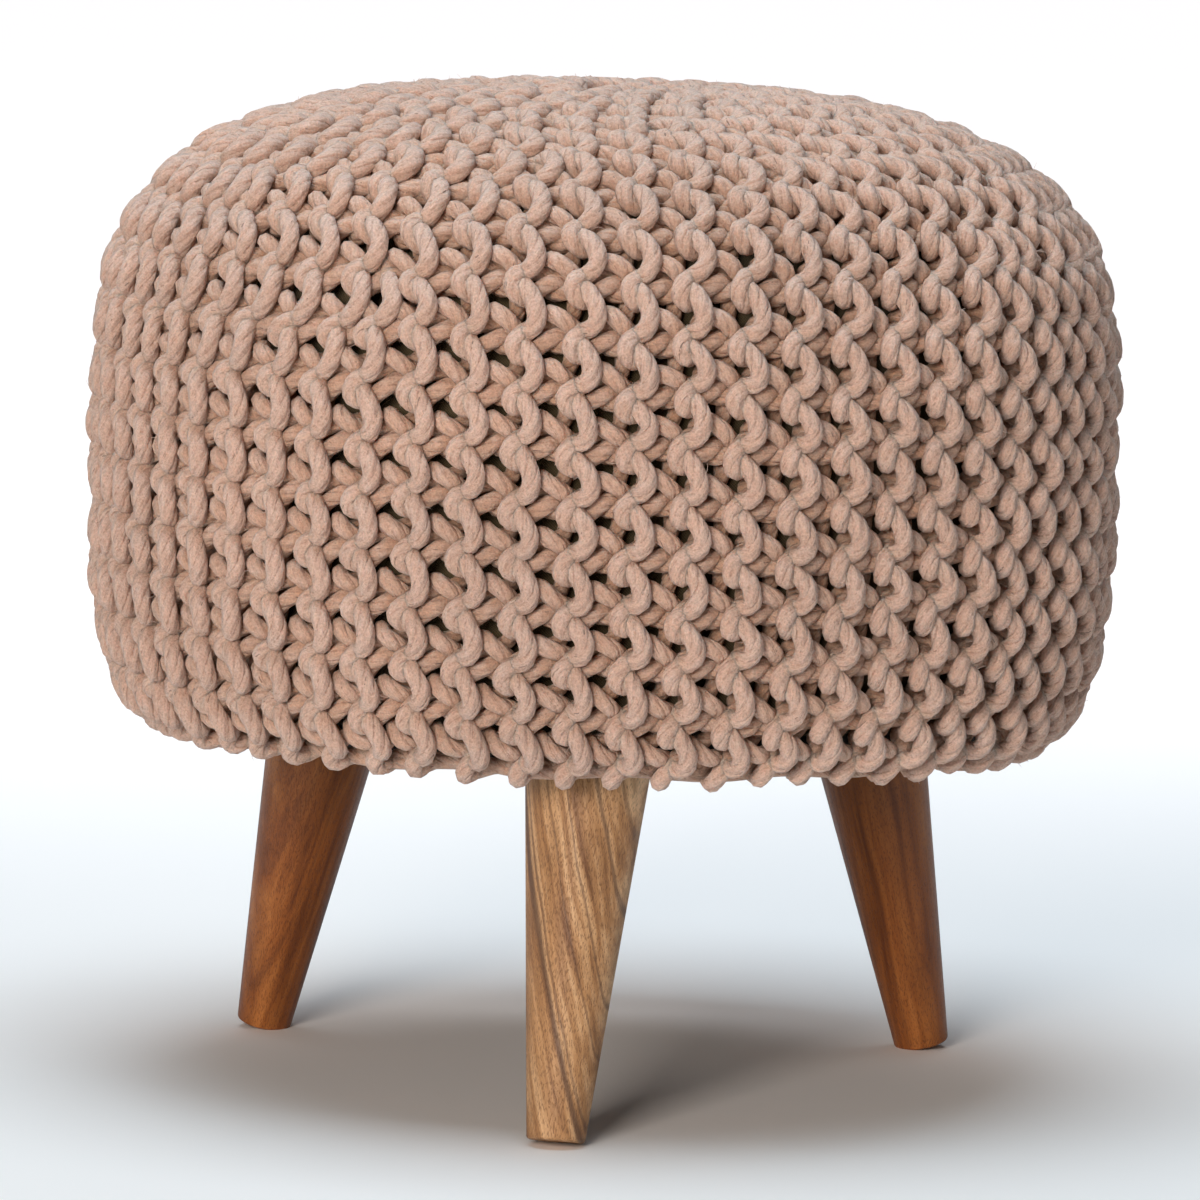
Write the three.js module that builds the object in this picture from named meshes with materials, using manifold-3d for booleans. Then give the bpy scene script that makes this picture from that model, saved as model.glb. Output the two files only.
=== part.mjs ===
// Round footstool: a filled seat under a thick knitted cover, on a board with three splayed legs.
// Millimetres, +Z up. The stool stands on z = 0, its axis is the Z axis and its front leg points to -Y.

import * as THREE from 'three';
import { mergeVertices } from 'three/addons/utils/BufferGeometryUtils.js';
import Module from 'manifold-3d';

const wasm = await Module();
wasm.setup();

// Driving dimensions.
const seatRadius = 205.9;        // widest radius of the cover, on the crests of its ridges
const girthHeight = 266.2;       // height of that widest ring
const crownRise = 135.3;         // from the widest ring up to the middle of the crown
const skirtDrop = 134.6;         // from the widest ring down to where the skirt would close
const hemHeight = 147;           // lower edge of the knitting
const undersideHeight = 143;     // where the legs meet the board
const boardRadius = 163.5;
const boardThickness = 14.7;
const coverThickness = 20;       // three crossing layers of cord
const ridgeCount = 60;           // ridges of the knitting around the seat
const ridgeDepth = 4.5;          // from a crest down to the valley beside it
const ridgeFadeRadius = 180;     // inside this radius the valleys grow shallow towards the crown
const cordRadius = 3.2;          // the cotton cord that the cover is knitted from
const drawRingRadius = 171.5;    // radius of the gathering cord's ring
const clearance = 0.35;          // between pieces that lie on each other

// The legs are turned cones, cut square at the foot and worn to a small flat where they stand.
const legTopRadius = 24.4;
const legFootRadius = 11.2;
const legSplay = 13.4;           // degrees from upright
const legCircleRadius = 129.2;   // of the legs' centres on the board
const footWear = 0.8;

// Where each leg stands around the seat, and how far its lean is turned from straight outwards.
// Degrees, counted from the front towards +X.
const legTable = [
  { name: 'leg_left', azimuth: -122.3, leanTurn: -7.8 },
  { name: 'leg_front', azimuth: -1.2, leanTurn: -13.3 },
  { name: 'leg_right', azimuth: 122.1, leanTurn: -2.6 },
];

// Rows of the seat's section, as angles around its squared-off oval: 90 is the middle of the crown,
// 0 the widest ring, and below 0 the skirt.
const sectionAngles = [86, 78, 69, 60, 50, 40, 30, 20, 10, 0, -7, -16, -27, -38, -47, -55];

// How square the oval is: 2 is a circle, and more is squarer.
const crownSquareness = { across: 3.05, up: 3.14 };
const skirtSquareness = { across: 11.7, up: 3.65 };

const ridgeColumns = 3;          // columns of the cover's mesh on each ridge: a valley and two crests
const hollowSegments = 48;       // of the pad, and of the hollow that holds it
const drawCordSides = 6;
const drawCordSteps = 60;
const legSides = 48;

const knitMaterial = new THREE.MeshStandardMaterial({ color: 0xc8a591, roughness: 0.95, metalness: 0 });
const drawCordMaterial = new THREE.MeshStandardMaterial({ color: 0xb8907c, roughness: 0.95, metalness: 0 });
const casingMaterial = new THREE.MeshStandardMaterial({ color: 0x8c7f63, roughness: 0.9, metalness: 0 });
const boardMaterial = new THREE.MeshStandardMaterial({ color: 0x23201e, roughness: 0.9, metalness: 0 });
const lightWoodMaterial = new THREE.MeshStandardMaterial({ color: 0xa66b3f, roughness: 0.5, metalness: 0 });
const darkWoodMaterial = new THREE.MeshStandardMaterial({ color: 0x7a4630, roughness: 0.5, metalness: 0 });

const radians = THREE.MathUtils.degToRad;

// A point of the seat's outer section, as its distance from the axis and its height.
function sectionPoint(degrees) {
  const onCrown = degrees > 0;
  const square = onCrown ? crownSquareness : skirtSquareness;
  const height = onCrown ? crownRise : -skirtDrop;
  const angle = Math.abs(radians(degrees));
  return new THREE.Vector2(
    seatRadius * Math.cos(angle) ** (2 / square.across),
    girthHeight + height * Math.sin(angle) ** (2 / square.up),
  );
}

// The outer section from the crown down to the hem.
function outerSection() {
  const points = [new THREE.Vector2(0, girthHeight + crownRise)];
  for (const degrees of sectionAngles) {
    points.push(sectionPoint(degrees));
  }
  const rim = points.at(-1);
  rim.y = hemHeight;
  return points;
}

// The same section moved inwards, square to itself, and ended on a flat at floorHeight.
function insetSection(depth, floorHeight) {
  const outer = outerSection();
  const points = [new THREE.Vector2(0, outer[0].y - depth)];
  for (let i = 1; i < outer.length - 1; i += 1) {
    const along = outer[i + 1].clone().sub(outer[i - 1]).normalize();
    const inset = new THREE.Vector2(outer[i].x + along.y * depth, outer[i].y - along.x * depth);
    if (inset.y > floorHeight + depth / 4) {
      points.push(inset);
    }
  }
  const last = points.at(-1);
  points.push(new THREE.Vector2(last.x - depth / 3, floorHeight));
  return points;
}

// Turns a section about Z. Sections are written from the top down, and a lathe that faces outwards
// wants them from the bottom up.
function turned(section, segments) {
  const geometry = new THREE.LatheGeometry(section.toReversed(), segments);
  geometry.rotateX(Math.PI / 2);
  return geometry;
}

// A closed solid from a geometry: shared vertices merged, and the slivers on the axis dropped.
function solid(geometry) {
  const bare = geometry.clone();
  bare.deleteAttribute('normal');
  bare.deleteAttribute('uv');
  const merged = mergeVertices(bare, 1e-3);
  const corners = merged.index.array;
  const kept = [];
  for (let i = 0; i < corners.length; i += 3) {
    const [a, b, c] = corners.slice(i, i + 3);
    if (a !== b && b !== c && c !== a) {
      kept.push(a, b, c);
    }
  }
  const mesh = new wasm.Mesh({
    numProp: 3,
    vertProperties: new Float32Array(merged.attributes.position.array),
    triVerts: new Uint32Array(kept),
  });
  return new wasm.Manifold(mesh);
}

function geometryOf(body) {
  const mesh = body.getMesh();
  const geometry = new THREE.BufferGeometry();
  geometry.setAttribute('position', new THREE.BufferAttribute(mesh.vertProperties, 3));
  geometry.setIndex(new THREE.BufferAttribute(mesh.triVerts, 1));
  geometry.computeVertexNormals();
  return geometry;
}

function piece(name, geometry, material) {
  const mesh = new THREE.Mesh(geometry, material);
  mesh.name = name;
  return mesh;
}

// Presses the valleys between the ridges into a turned cover.
function pressValleys(geometry) {
  const columnAngle = (2 * Math.PI) / (ridgeCount * ridgeColumns);
  const position = geometry.attributes.position;
  for (let i = 0; i < position.count; i += 1) {
    const x = position.getX(i);
    const y = position.getY(i);
    const radius = Math.hypot(x, y);
    const column = Math.round(Math.atan2(y, x) / columnAngle);
    const inValley = column % ridgeColumns === 0;
    if (!inValley || radius < 1) {
      continue;
    }
    const depth = ridgeDepth * Math.min(1, radius / ridgeFadeRadius);
    const onSide = Math.min(1, Math.abs(position.getZ(i) - girthHeight) / crownRise);
    const inwards = depth * Math.sqrt(1 - onSide * onSide);
    const scale = (radius - inwards) / radius;
    const lowered = position.getZ(i) > girthHeight ? depth * onSide : 0;
    position.setXYZ(i, x * scale, y * scale, position.getZ(i) - lowered);
  }
}

// The hollow of the cover: room for the pad above, and a narrower throat for the board below.
function coverHollow() {
  const ledgeHeight = undersideHeight + boardThickness + clearance;
  const throatRadius = boardRadius + clearance;
  const section = insetSection(coverThickness, ledgeHeight);
  section.push(new THREE.Vector2(throatRadius, ledgeHeight));
  section.push(new THREE.Vector2(throatRadius, hemHeight - cordRadius));
  section.push(new THREE.Vector2(0, hemHeight - cordRadius));
  return turned(section, hollowSegments);
}

function knitCover() {
  const section = outerSection();
  section.push(new THREE.Vector2(0, hemHeight));
  const outside = turned(section, ridgeCount * ridgeColumns);
  pressValleys(outside);
  const cover = solid(outside).subtract(solid(coverHollow()));
  return piece('knit_cover', geometryOf(cover), knitMaterial);
}

// The filled casing that shows between the loops, flat where it lies on the board.
function seatPad() {
  const floorHeight = undersideHeight + boardThickness + 2 * clearance;
  const section = insetSection(coverThickness + clearance, floorHeight);
  section.push(new THREE.Vector2(0, floorHeight));
  return piece('seat_pad', geometryOf(solid(turned(section, hollowSegments))), casingMaterial);
}

function baseBoard() {
  const top = undersideHeight + boardThickness;
  const bottom = undersideHeight + clearance;
  const bevel = 1.5;
  const section = [
    new THREE.Vector2(0, top),
    new THREE.Vector2(boardRadius, top),
    new THREE.Vector2(boardRadius, bottom + bevel),
    new THREE.Vector2(boardRadius - bevel, bottom),
    new THREE.Vector2(0, bottom),
  ];
  return piece('base_board', geometryOf(solid(turned(section, hollowSegments))), boardMaterial);
}

// The cord that gathers the hem, a ring of the knitting's own cord just under it.
function drawCord() {
  const height = hemHeight - clearance - cordRadius;
  const section = [];
  for (let i = 0; i <= drawCordSides; i += 1) {
    const angle = (-2 * Math.PI * (i % drawCordSides)) / drawCordSides;
    section.push(new THREE.Vector2(
      drawRingRadius + cordRadius * Math.cos(angle),
      height + cordRadius * Math.sin(angle),
    ));
  }
  return piece('draw_cord', geometryOf(solid(turned(section, drawCordSteps))), drawCordMaterial);
}

// One leg, its top centre at the origin, leaning towards -Y as it goes down.
function legGeometry() {
  const splay = radians(legSplay);
  const footCentre = undersideHeight + footWear - legFootRadius * Math.sin(splay);
  const length = footCentre / Math.cos(splay);
  const overrun = 12;
  const taper = (legTopRadius - legFootRadius) / length;
  const cone = turned([
    new THREE.Vector2(0, overrun),
    new THREE.Vector2(legTopRadius + taper * overrun, overrun),
    new THREE.Vector2(legFootRadius, -length),
    new THREE.Vector2(0, -length),
  ], legSides);
  cone.rotateX(-splay);
  const room = new THREE.BoxGeometry(400, 400, undersideHeight);
  room.translate(0, 0, -undersideHeight / 2);
  return geometryOf(solid(cone).intersect(solid(room)));
}

function legs() {
  const geometry = legGeometry();
  return legTable.map(({ name, azimuth, leanTurn }) => {
    const leg = piece(name, geometry, name === 'leg_front' ? lightWoodMaterial : darkWoodMaterial);
    const around = radians(azimuth);
    leg.position.set(
      legCircleRadius * Math.sin(around),
      -legCircleRadius * Math.cos(around),
      undersideHeight,
    );
    leg.rotation.z = radians(azimuth + leanTurn);
    return leg;
  });
}

const footstool = new THREE.Group();
footstool.add(knitCover(), seatPad(), drawCord(), baseBoard(), ...legs());

export default footstool;
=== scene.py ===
import math

import bmesh
import bpy
import numpy as np
from mathutils import Matrix, Vector


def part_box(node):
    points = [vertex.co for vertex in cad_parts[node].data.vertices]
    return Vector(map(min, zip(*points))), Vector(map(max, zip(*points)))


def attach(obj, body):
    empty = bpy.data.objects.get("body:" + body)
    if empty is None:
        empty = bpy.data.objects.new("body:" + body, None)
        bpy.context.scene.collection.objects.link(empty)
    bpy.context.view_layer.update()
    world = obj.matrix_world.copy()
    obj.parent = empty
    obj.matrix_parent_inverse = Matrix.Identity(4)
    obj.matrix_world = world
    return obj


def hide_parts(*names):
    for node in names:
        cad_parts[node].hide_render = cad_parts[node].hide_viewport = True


# Round footstool with a knitted cover. Metres, +Z up, front leg towards -Y.

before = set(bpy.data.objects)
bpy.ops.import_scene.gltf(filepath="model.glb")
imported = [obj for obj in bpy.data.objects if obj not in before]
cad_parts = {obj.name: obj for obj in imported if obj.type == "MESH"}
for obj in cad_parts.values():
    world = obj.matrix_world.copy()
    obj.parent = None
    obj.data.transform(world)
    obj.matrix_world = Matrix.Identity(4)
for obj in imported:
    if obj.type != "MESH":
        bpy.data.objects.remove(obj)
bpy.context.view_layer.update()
scene = bpy.context.scene


# Small helpers.

def cadSize(node):
    low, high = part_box(node)
    return (high.x - low.x) / 2, low.z, high.z


def addObject(name, mesh):
    thing = bpy.data.objects.new(name, mesh)
    scene.collection.objects.link(thing)
    return thing


def meshObject(name, bm, material, smooth=True):
    bmesh.ops.recalc_face_normals(bm, faces=bm.faces)
    mesh = bpy.data.meshes.new(name)
    bm.to_mesh(mesh)
    bm.free()
    mesh.materials.append(material)
    for face in mesh.polygons:
        face.use_smooth = smooth
    return addObject(name, mesh)


def finishPiece(thing, slot, *cadNodes):
    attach(thing, "root")
    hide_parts(*cadNodes)


# Turns a bevelled curve into a plain mesh.
def meshOfCurve(name, line):
    holder = bpy.data.objects.new(name, line)
    scene.collection.objects.link(holder)
    depsgraph = bpy.context.evaluated_depsgraph_get()
    mesh = bpy.data.meshes.new_from_object(holder.evaluated_get(depsgraph))
    bpy.data.objects.remove(holder)
    bpy.data.curves.remove(line)
    mesh.name = name
    return mesh


# Keeps a share between 0 and 1, and eases it in and out.
def eased(share):
    share = np.clip(share, 0, 1)
    return share * share * (3 - 2 * share)


# Short ways to add and wire the nodes of a material.
class NodeTree:
    def __init__(self, name):
        self.material = bpy.data.materials.new(name)
        self.material.use_nodes = True
        self.tree = self.material.node_tree
        self.shader = self.tree.nodes["Principled BSDF"]

    def add(self, kind, inputs=None, **settings):
        node = self.tree.nodes.new("ShaderNode" + kind)
        for key, value in settings.items():
            setattr(node, key, value)
        for key, value in (inputs or {}).items():
            self.plug(node.inputs[key], value)
        return node

    def plug(self, socket, value):
        if isinstance(value, bpy.types.NodeSocket):
            self.tree.links.new(value, socket)
        else:
            socket.default_value = value

    def math(self, operation, a, b=0.0):
        return self.add("Math", {0: a, 1: b}, operation=operation).outputs[0]

    def noise(self, vector, scale, detail=2.0, roughness=0.5):
        node = self.add("TexNoise", {"Vector": vector, "Scale": scale, "Detail": detail,
                                     "Roughness": roughness})
        return node.outputs["Fac"]

    def fit(self, value, low, high, toLow=0.0, toHigh=1.0):
        node = self.add("MapRange", {"Value": value, "From Min": low, "From Max": high,
                                     "To Min": toLow, "To Max": toHigh})
        return node.outputs[0]

    def attribute(self, name, output="Vector"):
        return self.add("Attribute", attribute_name=name).outputs[output]

    def join(self, x, y, z):
        return self.add("CombineXYZ", {0: x, 1: y, 2: z}).outputs[0]

    def split(self, vector):
        return self.add("SeparateXYZ", {"Vector": vector}).outputs

    # Ridges of two crossing sets of threads, between -1 and 1.
    def woven(self, vector, pitch):
        x, y, _ = self.split(vector)
        warp = self.math("SINE", self.math("MULTIPLY", x, 2 * math.pi / pitch))
        weft = self.math("SINE", self.math("MULTIPLY", y, 2 * math.pi / pitch))
        return self.math("MULTIPLY", warp, weft)

    def ramp(self, value, stops):
        node = self.add("ValToRGB", {"Fac": value})
        bar = node.color_ramp.elements
        while len(bar) < len(stops):
            bar.new(0.5)
        for element, (place, colour) in zip(bar, stops):
            element.position = place
            element.color = (*colour, 1)
        return node.outputs["Color"]

    def mix(self, factor, a, b, blend="MIX"):
        node = self.add("Mix", data_type="RGBA", blend_type=blend)
        self.plug(node.inputs["Factor"], factor)
        self.plug(node.inputs["A"], a if isinstance(a, bpy.types.NodeSocket) else (*a, 1))
        self.plug(node.inputs["B"], b if isinstance(b, bpy.types.NodeSocket) else (*b, 1))
        return node.outputs["Result"]

    def bump(self, height, distance, strength=1.0, normal=None):
        node = self.add("Bump", {"Height": height, "Distance": distance, "Strength": strength})
        if normal:
            self.plug(node.inputs["Normal"], normal)
        return node.outputs["Normal"]

    def finish(self, colour, roughness, normal=None, **fixed):
        self.plug(self.shader.inputs["Base Color"], colour)
        self.plug(self.shader.inputs["Roughness"], roughness)
        if normal:
            self.plug(self.shader.inputs["Normal"], normal)
        for key, value in fixed.items():
            self.shader.inputs[key.replace("_", " ")].default_value = value
        return self.material


# Camera, floor and lights.

view = {
    "place": (0.0, -2.9082, 0.5149),
    "pitch": 6.33,       # degrees downwards
    "roll": 1.62,
    "lens": 218.8,
}

camera = bpy.data.objects.new("camera", bpy.data.cameras.new("camera"))
scene.collection.objects.link(camera)
camera.data.lens = view["lens"]
camera.data.sensor_width = 36
camera.data.clip_end = 100
camera.matrix_world = (
    Matrix.Translation(view["place"])
    @ Matrix.Rotation(math.radians(90 - view["pitch"]), 4, "X")
    @ Matrix.Rotation(math.radians(view["roll"]), 4, "Z")
)
scene.camera = camera

studio = {
    "floorHalfWidth": 40,
    "floorColour": (0.95, 0.915, 0.885),
    "skyColour": (1.0, 1.0, 1.0),
    "skyStrength": 0.06,
    "lamps": [
        # name, place, aim, width, length, spread in degrees, watts, colour
        ("key", (-0.91, -2.97, 1.03), (0, 0, 0.26), 1.0, 1.0, 180, 71, (1.0, 0.915, 0.84)),
        ("top", (-0.1, -0.3, 2.4), (0, 0, 0.26), 1.5, 1.5, 180, 40, (0.80, 0.98, 1.12)),
        ("backdrop", (0, 9.8, 2.4), (0, 9.8, 0), 7.0, 18.0, 70, 430, (0.98, 1.0, 1.05)),
    ],
}

bm = bmesh.new()
bmesh.ops.create_grid(bm, x_segments=1, y_segments=1, size=studio["floorHalfWidth"])
floorMaterial = NodeTree("floor_paint").finish((*studio["floorColour"], 1), 0.9)
floor = meshObject("floor", bm, floorMaterial, smooth=False)

world = bpy.data.worlds.new("studio")
world.use_nodes = True
sky = world.node_tree.nodes["Background"].inputs
sky["Color"].default_value = (*studio["skyColour"], 1)
sky["Strength"].default_value = studio["skyStrength"]
scene.world = world

for name, place, aim, width, length, spread, watts, colour in studio["lamps"]:
    lamp = bpy.data.lights.new(name, "AREA")
    lamp.shape = "RECTANGLE"
    lamp.size, lamp.size_y, lamp.spread = width, length, math.radians(spread)
    lamp.energy, lamp.color = watts, colour
    stand = bpy.data.objects.new(name, lamp)
    scene.collection.objects.link(stand)
    stand.location = place
    stand.rotation_euler = (Vector(aim) - Vector(place)).to_track_quat("-Z", "Y").to_euler()
    stand.visible_camera = False
scene.view_settings.view_transform = "Standard"
print("stage ready")


# The seat's section.

# The outer section is half of a squared-off oval above the girth and another below it.
seatRadius, _, crownHeight = cadSize("knit_cover")
seat = {
    "girthHeight": 0.2662,
    "skirtDrop": 0.1346,
    "crownSquareness": (3.05, 3.14),
    "skirtSquareness": (11.7, 3.65),
    "hemAngle": -58,      # degrees below the girth at which the knitting starts
}


def outerPoint(degrees):
    onCrown = degrees > 0
    across, up = seat["crownSquareness"] if onCrown else seat["skirtSquareness"]
    height = crownHeight - seat["girthHeight"] if onCrown else -seat["skirtDrop"]
    angle = math.radians(abs(degrees))
    radius = seatRadius * max(math.cos(angle), 0) ** (2 / across)
    return radius, seat["girthHeight"] + height * math.sin(angle) ** (2 / up)


# The seat's section, moved inwards by a depth and walked by length from the hem to the pole.
class Section:
    def __init__(self, depth):
        angles = np.concatenate([np.linspace(-75, 0, 500, endpoint=False), np.linspace(0, 90, 900)])
        outer = np.array([outerPoint(a) for a in angles])
        steps = np.hypot(*np.diff(outer, axis=0).T)
        walked = np.concatenate([[0], np.cumsum(steps)])
        even = np.linspace(0, walked[-1], 900)
        points = np.stack([np.interp(even, walked, outer[:, k]) for k in (0, 1)], axis=1)
        along = np.gradient(points, axis=0)
        along /= np.linalg.norm(along, axis=1)[:, None]
        normal = np.stack([along[:, 1], -along[:, 0]], axis=1)
        points = points - normal * depth
        points[:, 0] = np.maximum(points[:, 0], 0)
        length = np.concatenate([[0], np.cumsum(np.hypot(*np.diff(points, axis=0).T))])
        hem = np.interp(np.interp(seat["hemAngle"], angles, walked), even, length)
        self.length = length - hem
        self.points, self.normal = points, normal
        self.total = self.length[-1]

    # Radius, height and the outward normal's two parts at length s.
    def at(self, s):
        table = np.concatenate([self.points, self.normal], axis=1)
        return [np.interp(s, self.length, table[:, k]) for k in range(4)]


# The knitting.

# One ridge of garter stitch is two rows of cord. Across, along and out are millimetres from the
# middle of a stitch on its ridge: across to the right, along towards the crown, out from the seat.
knit = {
    "cordRadius": 0.0034,
    "lumps": 0.05,               # share by which the cord swells and thins
    "swells": [                  # out, and the share by which the cord is thicker there
        (-0.002, -0.05), (0.0022, 0.02), (0.006, 0.09),
    ],
    "ridges": 60,
    "stitchPitch": 0.0206,
    "tablePitch": 0.021,         # the stitch and the ridge for which the two tables are written
    "ridgePitch": 0.0215,
    "poleRidgePitch": 0.015,     # the ridges narrow to this towards the pole
    "sideStitches": 9,           # up to here the knitting stands upright, and past it the crown begins
    "crownStart": 5,             # stitches over which the relief changes from the side's to the crown's
    "tightening": 0.4,           # of the stitches, towards the pole
    "crownRelief": 0.66,         # of the side's relief, on the crown where the knitting lies flatter
    "crownSwell": 0.12,          # share by which the cord is looser and thicker there
    "shoulderRadius": 0.188,     # inside it the first ridges end
    "middleDepth": 0.0098,       # of the fabric's middle under the crests
    "endStep": 0.618,            # spreads the ridges' ends, so that no two neighbours end together
    "endFade": 2.8,              # stitches over which a ridge narrows to its end
    "panels": 5,
    "cordSides": 2,              # bevel resolution: 2 gives eight sides
    "stepsPerPoint": 2,
    "unevenness": 0.0006,
    "loopJitter": 0.00016,
    "lean": (0.0, -5.0),         # degrees that the ridges turn: on the side, and on the crown
    "seed": 11,
}

# The row that bulges to the right on the ridge.
hookRow = [
    # across, along, out
    (-15.4, -6.0, -7.0),
    (-16.2, -3.2, -5.8),
    (-13.8, -0.4, -1.8),
    (-10.0, -1.8, 2.4),
    (-6.0, -4.2, 2.2),
    (-2.4, -7.0, -0.4),
    (1.6, -7.6, 4.0),
    (4.8, -4.9, 6.6),
    (5.3, -0.7, 7.0),
    (3.4, 3.8, 6.6),
    (0.6, 7.5, 4.6),
    (-2.8, 9.6, 0.6),
    (-7.4, 7.9, -2.5),
    (-12.4, 9.2, -6.0),
]

# The row that bulges to the left on the ridge, and reaches back to the next ridge on the right.
sinkerRow = [
    (-1.5, -16.9, 2.8),
    (-3.3, -15.4, 5.2),
    (-3.8, -12.9, 6.0),
    (-2.1, -9.9, 4.8),
    (1.8, -6.9, 0.4),
    (7.0, -4.9, -3.0),
    (12.0, -3.8, -5.6),
    (16.4, -1.6, -7.5),
    (17.3, 4.4, -7.5),
    (16.8, 9.6, -6.6),
    (13.6, 12.2, -2.2),
    (9.2, 10.2, 0.8),
    (4.2, 7.0, 0.2),
    (0.1, 3.7, 0.6),
]

# Where the cord turns from one row to the next, at the crown and at the hem.
crownTurn = [(-12.0, 14.0, -5.0), (-7.0, 16.0, -1.5), (-2.5, 12.0, 0.5)]
hemTurn = [
    (-3.4, -18.4, 2.6),
    (0.2, -19.6, 0.8),
    (5.4, -18.4, -0.8),
    (10.4, -17.8, -0.8),
    (14.8, -16.4, -1.2),
    (15.0, -13.4, -4.0),
    (10.6, -10.6, -6.6),
]

middle = Section(knit["middleDepth"])
random = np.random.default_rng(knit["seed"])

# Soft unevenness that neighbouring loops share: a sum of long waves around and along the seat.
waves = {
    "around": random.integers(2, 26, 40),
    "along": random.uniform(-130, 130, 40),
    "phase": random.uniform(0, 2 * math.pi, (3, 40)),
}


# Three offsets, each about 1 across, at a share of a turn and a length from the hem.
def unevenAt(turn, s):
    angle = 2 * math.pi * turn[:, None] * waves["around"] + s[:, None] * waves["along"]
    return [np.sin(angle + phase).sum(axis=1) / 4.5 for phase in waves["phase"]]


# Stitches tighten over the crown: turns a length counted in whole stitches into one along the seat.
def tightened(s):
    onCrown = np.maximum(s - knit["sideStitches"] * knit["stitchPitch"], 0)
    return s - knit["tightening"] * onCrown ** 2


# How far from the hem each ridge ends, so that its neighbours close up on the crown.
def ridgeEnds():
    rank = (np.arange(knit["ridges"]) * knit["endStep"]) % 1
    shoulder = knit["shoulderRadius"]
    radii = np.linspace(0, shoulder, 200)
    widest, narrowest = 2 * math.pi * shoulder / knit["ridges"], knit["poleRidgePitch"]
    pitch = narrowest + (widest - narrowest) * radii / shoulder
    ridgesLeft = knit["ridges"] * (rank * 0.97 + 0.03)
    endRadius = np.interp(ridgesLeft, 2 * math.pi * radii / pitch, radii)
    onCrown = middle.points[:, 1] > seat["girthHeight"] + 0.02
    endLength = np.interp(endRadius, middle.points[onCrown, 0][::-1], middle.length[onCrown][::-1])
    nominal = np.linspace(0, 0.5, 400)
    return np.interp(endLength, tightened(nominal), nominal)


stitchCount = np.round(ridgeEnds() / knit["stitchPitch"]).astype(int)
ridgeEnd = stitchCount * knit["stitchPitch"]


# How much of its full width each ridge has at length s: 1 below its end and 0 above it.
def ridgeWeights(s):
    fade = knit["endFade"] * knit["stitchPitch"]
    return eased((ridgeEnd[None, :] - s[:, None]) / fade + 0.2)


# How far the ridges have leant round the seat at length s, in radians.
def turnOfRidges(s):
    side, crown = knit["lean"]
    stitches, onSide = s / knit["stitchPitch"], knit["sideStitches"]
    return np.radians(side * np.minimum(stitches, onSide) + crown * eased(stitches / onSide - 1))


# 0 on the side, rising to 1 on the crown.
def crownShare(s):
    return eased((s / knit["stitchPitch"] - knit["sideStitches"]) / knit["crownStart"])


# Places points of a cord, with across and out in metres from the ridge and the fabric's middle.
def placeCord(ridge, across, s, out):
    weights = ridgeWeights(s)
    total = np.maximum(weights.sum(axis=1), 2.5)
    before = weights[:, :ridge].sum(axis=1) + weights[:, ridge] / 2
    turn = (before + across / knit["ridgePitch"]) / total
    shift = unevenAt(ridge / knit["ridges"] + across / knit["ridgePitch"] / knit["ridges"], s)
    amount = knit["unevenness"]
    out = out * (1 - (1 - knit["crownRelief"]) * crownShare(s))
    s = s + shift[0] * amount * 1.3
    radius, height, normalOut, normalUp = middle.at(tightened(s))
    out = out + shift[1] * amount * 0.8
    angle = 2 * math.pi * turn + turnOfRidges(s) - math.pi / 2 + shift[2] * amount / 0.2
    reach = np.maximum(radius + normalOut * out, 0.002)
    return np.stack([reach * np.cos(angle), reach * np.sin(angle), height + normalUp * out], axis=1)


# The points of one row from the hem to the crown, as across, s and out in metres.
def rowPoints(table, stitches):
    one = np.array(table) / 1000
    one[:, 1] *= knit["stitchPitch"] / knit["tablePitch"]
    rows = np.tile(one, (stitches, 1))
    rows[:, 1] += np.repeat((np.arange(stitches) + 0.5) * knit["stitchPitch"], len(table))
    return rows


# Up the hook row, over at the crown, down the sinker row and under at the hem.
def ridgePath(ridge):
    stitches = int(stitchCount[ridge])
    top = (stitches - 0.5) * knit["stitchPitch"]
    over = np.array(crownTurn) / 1000 + [0, top, 0]
    under = np.array(hemTurn) / 1000 + [0, 0.5 * knit["stitchPitch"], 0]
    up, down = rowPoints(hookRow, stitches), rowPoints(sinkerRow, stitches)[::-1]
    path = np.concatenate([up, over, down, under])
    path += random.normal(0, knit["loopJitter"], path.shape)
    return path, placeCord(ridge, *path.T)


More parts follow.
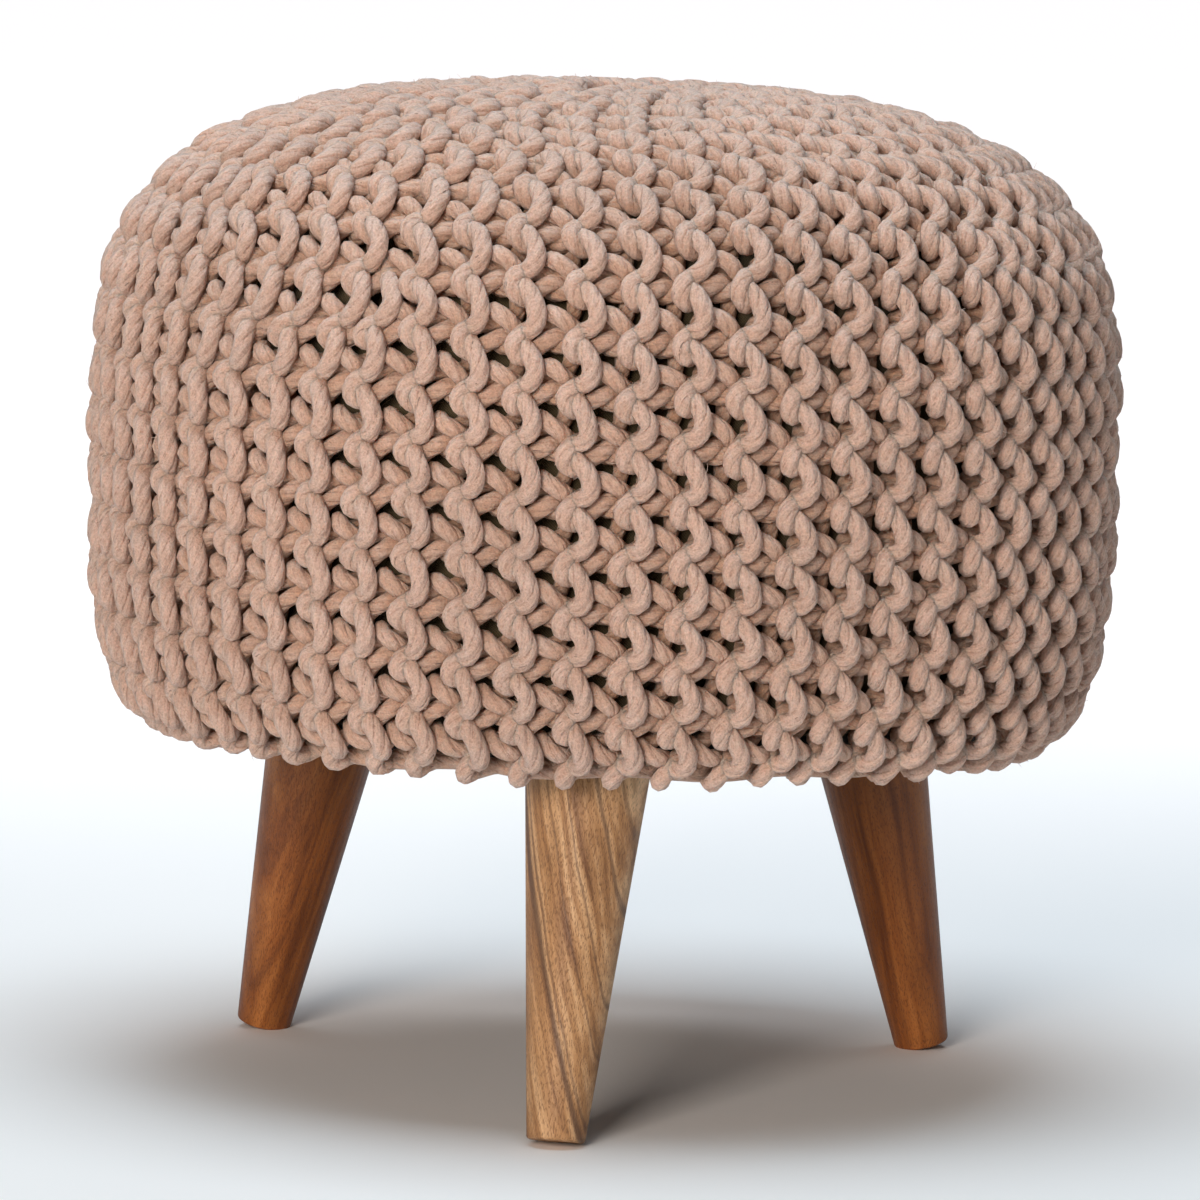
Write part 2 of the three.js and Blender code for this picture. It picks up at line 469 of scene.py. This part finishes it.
# Sweeps a round cord through places, and notes the place along and around it for the plies.
def cordMesh(name, places, radius, material, cyclic=False, steps=2, outs=None, swell=1):
    line = bpy.data.curves.new(name, "CURVE")
    line.dimensions = "3D"
    line.bevel_depth = radius
    line.bevel_resolution = knit["cordSides"]
    line.resolution_u = steps
    spline = line.splines.new("BEZIER")
    spline.use_cyclic_u = cyclic
    spline.bezier_points.add(len(places) - 1)
    spline.bezier_points.foreach_set("co", np.asarray(places, dtype=np.float32).ravel())
    swell = swell * (1 + random.uniform(-knit["lumps"], knit["lumps"], len(places)))
    spline.bezier_points.foreach_set("radius", swell.astype(np.float32))
    for point in spline.bezier_points:
        point.handle_left_type = point.handle_right_type = "AUTO"
    mesh = meshOfCurve(name, line)
    for layer in list(mesh.uv_layers):
        mesh.uv_layers.remove(layer)
    sides = 4 + 2 * knit["cordSides"]
    co = np.empty(len(mesh.vertices) * 3, dtype=np.float32)
    mesh.vertices.foreach_get("co", co)
    rings = co.reshape(-1, sides, 3)
    centres = rings.mean(axis=1)
    along = np.concatenate([[0], np.cumsum(np.linalg.norm(np.diff(centres, axis=0), axis=1))])
    around = np.arange(sides) / sides * 2 * math.pi
    lay = np.empty(rings.shape, dtype=np.float32)
    lay[..., 0], lay[..., 1], lay[..., 2] = np.cos(around), np.sin(around), along[:, None]
    mesh.attributes.new("lay", "FLOAT_VECTOR", "POINT").data.foreach_set("vector", lay.ravel())
    if outs is not None:
        depth = np.interp(np.linspace(0, len(outs) - 1, len(rings)), np.arange(len(outs)), outs)
        depth = np.repeat(depth, sides).astype(np.float32)
        mesh.attributes.new("depth", "FLOAT", "POINT").data.foreach_set("value", depth)
    mesh.materials.append(material)
    mesh.polygons.foreach_set("use_smooth", [True] * len(mesh.polygons))
    if not cyclic:
        bm = bmesh.new()
        bm.from_mesh(mesh)
        bmesh.ops.holes_fill(bm, edges=[e for e in bm.edges if e.is_boundary], sides=sides)
        bm.to_mesh(mesh)
        bm.free()
    return addObject(name, mesh), along[-1]


# Cord material.

cordFinish = {
    "colour": (0.545, 0.36, 0.28),
    "lightColour": (0.61, 0.45, 0.38),
    # painted shade: cord lying deep in the knitting is painted darker and warmer, as if shaded and lit
    # by warm bounce light
    "recessShadeColour": (0.48, 0.28, 0.18),
    # painted shade in the grooves between the plies and yarns
    "plyGrooveShadeColour": (0.28, 0.15, 0.095),
    "fleckColour": (0.12, 0.07, 0.05),
    "plies": 4,
    "yarns": 12,
    "layLength": 0.026,      # length of cord in which a ply goes once round
    "plyDepth": 0.0006,
    "yarnDepth": 0.0001,
    "fibreDepth": 0.00008,
    "mottleDepth": 0.0012,
    "fuzzDepth": 0.0005,
    "sheen": 0.12,
    "softness": 0.6,         # share of the light that spreads inside the cotton
    "softDepth": 0.003,      # and how far it spreads
}


def cordMaterial(name, finish, tint=1.0):
    t = NodeTree(name)
    x, y, along = t.split(t.attribute("lay"))
    around = t.math("ARCTAN2", y, x)
    helix = t.math("MULTIPLY", along, 2 * math.pi / finish["layLength"])
    turned = t.math("SUBTRACT", around, helix)
    ply = t.math("ABSOLUTE", t.math("COSINE", t.math("MULTIPLY", turned, finish["plies"] / 2)))
    yarnTurn = t.math("MULTIPLY", turned, finish["yarns"] / 2)
    yarnTurn = t.math("ADD", yarnTurn, t.math("MULTIPLY", helix, 0.7))
    yarn = t.math("ABSOLUTE", t.math("COSINE", yarnTurn))

    # Fibres run along the plies: noise that is long in the ply's own direction.
    radius = knit["cordRadius"]
    fibreX = t.math("MULTIPLY", t.math("COSINE", turned), radius)
    fibreY = t.math("MULTIPLY", t.math("SINE", turned), radius)
    fibreAt = t.join(fibreX, fibreY, t.math("MULTIPLY", along, 0.12))
    fibre = t.noise(fibreAt, 2600, detail=2, roughness=0.6)

    place = t.add("TexCoord").outputs["Object"]
    broad = t.noise(place, 14, detail=2)
    mottle = t.noise(place, 160, detail=2, roughness=0.6)
    fuzz = t.noise(place, 1150, detail=2, roughness=0.6)
    # Painted shade: the deeper the cord lies, the more of the recess shade colour it gets.
    proud = t.fit(t.attribute("depth", "Fac"), -0.004, 0.007)

    colour = t.mix(proud, finish["recessShadeColour"], finish["colour"])
    lighter = t.math("MULTIPLY", t.fit(mottle, 0.4, 0.75), 0.55)
    colour = t.mix(lighter, colour, finish["lightColour"])
    shade = t.math("MULTIPLY", t.fit(fibre, 0.35, 0.7, 0.93, 1.05), t.fit(fuzz, 0.3, 0.7, 0.84, 1.22))
    shade = t.math("MULTIPLY", shade, t.fit(broad, 0.3, 0.7, 0.94 * tint, 1.05 * tint))
    colour = t.mix(1.0, colour, t.join(shade, shade, shade), blend="MULTIPLY")
    # Painted shade: the grooves between the plies and yarns are painted dark, in patches that a noise
    # picks.
    grooveShadePatches = t.fit(t.noise(place, 560, detail=2), 0.46, 0.62)
    line = t.math("MAXIMUM", t.fit(ply, 0.05, 0.35, 0.6, 0.0), t.fit(yarn, 0.05, 0.4, 0.4, 0.0))
    colour = t.mix(t.math("MULTIPLY", line, grooveShadePatches), colour, finish["plyGrooveShadeColour"])
    fleckAt = t.add("TexVoronoi", {"Vector": fibreAt, "Scale": 560.0}, feature="F1")
    fleck = t.math("LESS_THAN", fleckAt.outputs["Distance"], 0.16)
    fleck = t.math("MULTIPLY", fleck, t.math("GREATER_THAN", t.noise(place, 330, detail=1), 0.6))
    colour = t.mix(t.math("MULTIPLY", fleck, 0.7), colour, finish["fleckColour"])

    normal = t.bump(ply, finish["plyDepth"])
    normal = t.bump(yarn, finish["yarnDepth"], normal=normal)
    normal = t.bump(fibre, finish["fibreDepth"], normal=normal)
    normal = t.bump(mottle, finish["mottleDepth"], normal=normal)
    normal = t.bump(fuzz, finish["fuzzDepth"], normal=normal)
    return t.finish(
        colour, 0.92, normal, Specular_IOR_Level=0.1,
        Sheen_Weight=finish["sheen"], Sheen_Roughness=0.85,
        Subsurface_Weight=finish["softness"], Subsurface_Radius=(1.0, 0.6, 0.45),
        Subsurface_Scale=finish["softDepth"],
    )


coverMaterial = cordMaterial("knit_cotton", cordFinish)
perPanel = knit["ridges"] // knit["panels"]
coverPanels = []
cordUsed = 0
for panel in range(knit["panels"]):
    walks = [ridgePath(ridge) for ridge in range(panel * perPanel, (panel + 1) * perPanel)]
    places = np.concatenate([walk[1] for walk in walks])
    alongs, outs = np.concatenate([walk[0][:, 1:] for walk in walks]).T
    swell = 1 + knit["crownSwell"] * crownShare(alongs) + np.interp(outs, *zip(*knit["swells"]))
    cover, length = cordMesh(f"cover_panel_{panel + 1}", places, knit["cordRadius"], coverMaterial,
                             steps=knit["stepsPerPoint"], outs=outs, swell=swell)
    cordUsed += length
    coverPanels.append(cover)
    finishPiece(cover, "knit_cord", "knit_cover")
print(f"cover knitted: {int(stitchCount.sum())} stitches on {knit['ridges']} ridges, "
      f"{cordUsed:.1f} m of cord")


# Stray fibres that stand off the cord.

strays = {
    "perPanel": 600,
    "radius": 0.0001,
    "shortest": 0.0006,
    "longest": 0.004,
    "spread": 0.7,           # how far they lean from straight outwards
    "curl": 0.5,             # sideways bend as a share of their length
    "points": [-0.1, 0.3, 0.65, 1.0],  # along a fibre, from just inside the cord
    "taper": [1, 0.9, 0.7, 0.4],
    "proudFrom": 0.004,      # only on cord that lies at least this far out
    "colour": (0.62, 0.46, 0.39),
}


# Bent hairs on a cover panel, as rows of four points.
def fibrePlaces(cover):
    count, total = strays["perPanel"], len(cover.data.vertices)
    co, normal, depth = np.empty(total * 3), np.empty(total * 3), np.empty(total)
    cover.data.vertices.foreach_get("co", co)
    cover.data.vertices.foreach_get("normal", normal)
    cover.data.attributes["depth"].data.foreach_get("value", depth)
    pick = random.choice(np.flatnonzero(depth > strays["proudFrom"]), count, replace=False)
    root = co.reshape(-1, 3)[pick]
    out = normal.reshape(-1, 3)[pick] + random.normal(0, strays["spread"], (count, 3))
    out /= np.linalg.norm(out, axis=1)[:, None]
    side = np.cross(out, random.normal(0, 1, (count, 3)))
    side /= np.linalg.norm(side, axis=1)[:, None]
    shortest, longest = strays["shortest"], strays["longest"]
    length = shortest + (longest - shortest) * random.random((count, 1, 1)) ** 3
    share = np.array(strays["points"])[None, :, None]
    return root[:, None] + length * (out[:, None] * share + side[:, None] * share ** 2 * strays["curl"])


line = bpy.data.curves.new("stray_fibres", "CURVE")
line.dimensions = "3D"
line.bevel_depth = strays["radius"]
line.bevel_resolution = 0
for cover in coverPanels:
    for hair in fibrePlaces(cover):
        spline = line.splines.new("POLY")
        spline.points.add(len(hair) - 1)
        spline.points.foreach_set("co", np.c_[hair, np.ones(len(hair))].astype(np.float32).ravel())
        spline.points.foreach_set("radius", np.array(strays["taper"], dtype=np.float32))
mesh = meshOfCurve("stray_fibres", line)
fibreMaterial = NodeTree("stray_cotton").finish((*strays["colour"], 1), 0.9, Specular_IOR_Level=0.1)
mesh.materials.append(fibreMaterial)
fibres = addObject("stray_fibres", mesh)
finishPiece(fibres, "knit_cord", "knit_cover")
print(f"stray fibres: {len(coverPanels) * strays['perPanel']}")


# Gathering cord under the hem.

gather = {
    "radius": 0.0031,
    "points": 90,
    "sway": 0.0009,
    "lift": 0.0028,          # pulled up against the board's edge
}
ringRadius, ringLow, ringHigh = cadSize("draw_cord")
ringRadius -= (ringHigh - ringLow) / 2
ringPlaces = []
for i in range(gather["points"]):
    angle = 2 * math.pi * i / gather["points"]
    outwards = ringRadius + gather["sway"] * (math.sin(11 * angle) + 0.6 * math.sin(29 * angle + 1))
    up = (ringLow + ringHigh) / 2 + gather["lift"] + gather["sway"] * math.sin(17 * angle + 2)
    ringPlaces.append((outwards * math.cos(angle), outwards * math.sin(angle), up))
gatherMaterial = cordMaterial("gathering_cotton", cordFinish, tint=0.95)
gatherCord, length = cordMesh("gathering_cord", ringPlaces, gather["radius"], gatherMaterial,
                              cyclic=True, steps=4)
finishPiece(gatherCord, "draw_cord", "draw_cord")
print(f"gathering cord: {length:.2f} m")


# Filled casing.

casing = {
    "depth": 0.0212,         # under the crests of the cover
    "threadPitch": 0.0011,
    "colour": (0.16, 0.118, 0.048),
    "darkColour": (0.07, 0.048, 0.024),
}

t = NodeTree("woven_casing")
place = t.add("TexCoord").outputs["Object"]
threads = t.woven(t.attribute("weave"), casing["threadPitch"])
threads = t.math("MULTIPLY", t.math("ADD", threads, 1.0), 0.5)
cloth = t.mix(threads, casing["darkColour"], casing["colour"])
cloudy = t.math("MULTIPLY", t.noise(place, 60, detail=3), 0.5)
cloth = t.mix(cloudy, cloth, casing["darkColour"])
casingMaterial = t.finish(cloth, 0.95, t.bump(threads, 0.0004), Sheen_Weight=0.1)

under = Section(casing["depth"])
padRadius, padLow, _ = cadSize("seat_pad")
bm = bmesh.new()
profile = []
for s in np.linspace(0.006, under.total, 40):
    radius, height, _, _ = under.at(np.array([s]))
    if height[0] > padLow + 0.002:
        profile.append((float(radius[0]), float(height[0])))
edge = profile[0][0]
profile = [(0, padLow), (edge - 0.012, padLow), (edge - 0.003, padLow + 0.001), *profile]
chain = [bm.verts.new((radius, 0, height)) for radius, height in profile]
edges = [bm.edges.new(pair) for pair in zip(chain, chain[1:])]
bmesh.ops.spin(bm, geom=chain + edges, cent=(0, 0, 0), axis=(0, 0, 1), angle=2 * math.pi,
               steps=96, use_merge=True)
bmesh.ops.remove_doubles(bm, verts=bm.verts, dist=1e-5)
pad = meshObject("filled_casing", bm, casingMaterial)
weaveData = np.empty((len(pad.data.vertices), 3), dtype=np.float32)
for i, v in enumerate(pad.data.vertices):
    weaveData[i] = (math.atan2(v.co.y, v.co.x) * padRadius, v.co.z, 0)
pad.data.attributes.new("weave", "FLOAT_VECTOR", "POINT").data.foreach_set("vector", weaveData.ravel())
finishPiece(pad, "casing", "seat_pad")
print("casing filled")


# Board under its dust cloth.

board = {
    "colour": (0.018, 0.016, 0.015),
    "lint": 2.2,             # times as light as the cloth
    "edgeRound": 0.004,
    "threadPitch": 0.0008,
}
boardRadius, boardLow, boardHigh = cadSize("base_board")
t = NodeTree("dust_cloth")
place = t.add("TexCoord").outputs["Object"]
threads = t.woven(place, board["threadPitch"])
lintColour = tuple(part * board["lint"] for part in board["colour"])
lint = t.ramp(t.noise(place, 500, detail=3), [(0.35, board["colour"]), (0.75, lintColour)])
boardMaterial = t.finish(lint, 0.9, t.bump(threads, 0.0002), Sheen_Weight=0.15)
bm = bmesh.new()
boardMiddle = Matrix.Translation((0, 0, (boardLow + boardHigh) / 2))
bmesh.ops.create_cone(bm, cap_ends=True, segments=128, radius1=boardRadius, radius2=boardRadius,
                      depth=boardHigh - boardLow, matrix=boardMiddle)
rim = [e for e in bm.edges if abs(e.verts[0].co.z - e.verts[1].co.z) < 1e-6]
bmesh.ops.bevel(bm, geom=rim, offset=board["edgeRound"], offset_type="OFFSET", affect="EDGES",
                segments=3, profile=0.5, material=-1)
boardPiece = meshObject("covered_board", bm, boardMaterial)
finishPiece(boardPiece, "board", "base_board")
print("board covered")


# Legs.

leg = {
    "topRadius": 0.0244,
    "footRadius": 0.0112,
    "splay": 13.4,           # degrees
    "circleRadius": 0.1292,  # on which the legs meet the seat's underside
    "overrun": 0.012,        # of the turned blank, before its top is cut level
    "footWear": 0.0008,      # of the blank's foot, below the floor before it is cut level
    "footRound": 0.0012,
    "segments": 96,
    "rings": 12,
}
legPlaces = {
    # azimuth from the front towards +X, lean turned from straight outwards, wood
    "leg_left": (-122.3, -7.8, "dark_wood"),
    "leg_front": (-1.2, -13.3, "light_wood"),
    "leg_right": (122.1, -2.6, "dark_wood"),
}
woods = {
    "light_wood": {
        "light": (0.80, 0.50, 0.27), "middle": (0.44, 0.225, 0.095), "dark": (0.19, 0.078, 0.03),
        "streak": (0.07, 0.03, 0.02), "pores": (0.11, 0.045, 0.02), "poreShare": 0.5,
        "slant": 0.19, "bend": 0.36, "wander": 0.006, "roughness": 0.5,
        # streaks: place across the grain, half width, strength
        "streaks": [(-0.0245, 0.0017, 0.75), (-0.0218, 0.0008, 0.5), (-0.0118, 0.0006, 0.45),
                    (-0.0042, 0.0006, 0.55), (0.0078, 0.0010, 0.6), (0.0165, 0.0008, 0.4)],
    },
    "dark_wood": {
        "light": (0.42, 0.150, 0.036), "middle": (0.26, 0.078, 0.015), "dark": (0.12, 0.032, 0.008),
        "streak": (0.07, 0.02, 0.008), "pores": (0.08, 0.022, 0.008), "poreShare": 0.45,
        "slant": 0.05, "bend": 0.1, "wander": 0.008, "roughness": 0.45,
        "streaks": [(-0.014, 0.0012, 0.3), (0.004, 0.0008, 0.3), (0.013, 0.001, 0.25)],
    },
}


# Grain along the leg: broad tones and a few dark streaks that slant across it, and short fine pores.
def woodMaterial(name, wood, seed):
    t = NodeTree(name)
    grain = t.attribute("grain")
    x, y, z = t.split(grain)
    drawnOut = t.add("Mapping", {"Vector": grain, "Location": (0.3 * seed, 0, 0),
                                 "Scale": (1, 1, 0.22)}).outputs[0]
    wander = t.math("SUBTRACT", t.noise(drawnOut, 42, detail=2), 0.5)
    wander = t.math("MULTIPLY", wander, wood["wander"])
    leaning = t.math("MULTIPLY", z, wood["slant"])
    bent = t.math("MULTIPLY", t.math("MULTIPLY", z, z), wood["bend"])
    figure = t.math("ADD", t.math("SUBTRACT", t.math("ADD", x, leaning), bent), wander)

    toneAt = t.join(figure, t.math("MULTIPLY", y, 0.4), t.math("MULTIPLY", z, 0.03))
    tone = t.noise(toneAt, 150, detail=4, roughness=0.62)
    colour = t.ramp(tone, [(0.32, wood["dark"]), (0.47, wood["middle"]), (0.66, wood["light"])])
    for place, width, strength in wood["streaks"]:
        away = t.math("ABSOLUTE", t.math("SUBTRACT", figure, place))
        colour = t.mix(t.fit(away, width * 0.3, width, strength, 0.0), colour, wood["streak"])
    clouded = t.fit(t.noise(drawnOut, 70, detail=3, roughness=0.6), 0.3, 0.7, 0.84, 1.14)
    colour = t.mix(1.0, colour, t.join(clouded, clouded, clouded), blend="MULTIPLY")
    poreAt = t.add("Mapping", {"Vector": grain, "Rotation": (0, wood["slant"], 0),
                               "Scale": (1, 1, 0.22)}).outputs[0]
    pores = t.fit(t.noise(poreAt, 2400, detail=1), 0.53, 0.66)
    colour = t.mix(t.math("MULTIPLY", pores, wood["poreShare"]), colour, wood["pores"])
    fine = t.noise(poreAt, 900, detail=3, roughness=0.7)
    normal = t.bump(t.math("SUBTRACT", fine, pores), 0.00012)
    return t.finish(colour, wood["roughness"], normal, Specular_IOR_Level=0.35)


# Cuts a mesh right across by a level plane.
def cutLevel(bm, height, up, **settings):
    return bmesh.ops.bisect_plane(bm, geom=bm.verts[:] + bm.edges[:] + bm.faces[:],
                                  plane_co=(0, 0, height), plane_no=(0, 0, up), **settings)


woodMaterials = {name: woodMaterial(name, wood, i) for i, (name, wood) in enumerate(woods.items())}
_, _, undersideHeight = cadSize("leg_front")

for name, (azimuth, leanTurn, wood) in legPlaces.items():
    splay = math.radians(leg["splay"])
    footCentre = undersideHeight + leg["footWear"] - leg["footRadius"] * math.sin(splay)
    length = footCentre / math.cos(splay)
    overrun = leg["overrun"]
    taper = (leg["topRadius"] - leg["footRadius"]) / length
    bm = bmesh.new()
    bmesh.ops.create_cone(
        bm, cap_ends=True, segments=leg["segments"],
        radius1=leg["footRadius"], radius2=leg["topRadius"] + taper * overrun, depth=length + overrun,
        matrix=Matrix.Translation((0, 0, (overrun - length) / 2)),
    )
    foot = [e for e in bm.edges if all(v.co.z < -length + 1e-6 for v in e.verts)]
    bmesh.ops.bevel(bm, geom=foot, offset=leg["footRound"], offset_type="OFFSET", affect="EDGES",
                    segments=4, profile=0.5, material=-1)
    for i in range(1, leg["rings"]):
        cutLevel(bm, -length + (length + overrun) * i / leg["rings"], 1)
    layer = bm.verts.layers.float_vector.new("grain")
    for vert in bm.verts:
        vert[layer] = vert.co.copy()
    turn, circle = math.radians(azimuth), leg["circleRadius"]
    stand = (
        Matrix.Translation((circle * math.sin(turn), -circle * math.cos(turn), undersideHeight))
        @ Matrix.Rotation(math.radians(azimuth + leanTurn), 4, "Z")
        @ Matrix.Rotation(-splay, 4, "X")
    )
    bmesh.ops.transform(bm, matrix=stand, verts=bm.verts)
    for height, up in ((undersideHeight, 1), (0, -1)):
        cut = cutLevel(bm, height, up, clear_outer=True)["geom_cut"]
        bmesh.ops.contextual_create(bm, geom=[e for e in cut if isinstance(e, bmesh.types.BMEdge)])
    piece = meshObject("turned_" + name, bm, woodMaterials[wood])
    piece.data.set_sharp_from_angle(angle=math.radians(40))
    finishPiece(piece, wood, name)
print("legs turned")

bpy.context.view_layer.update()
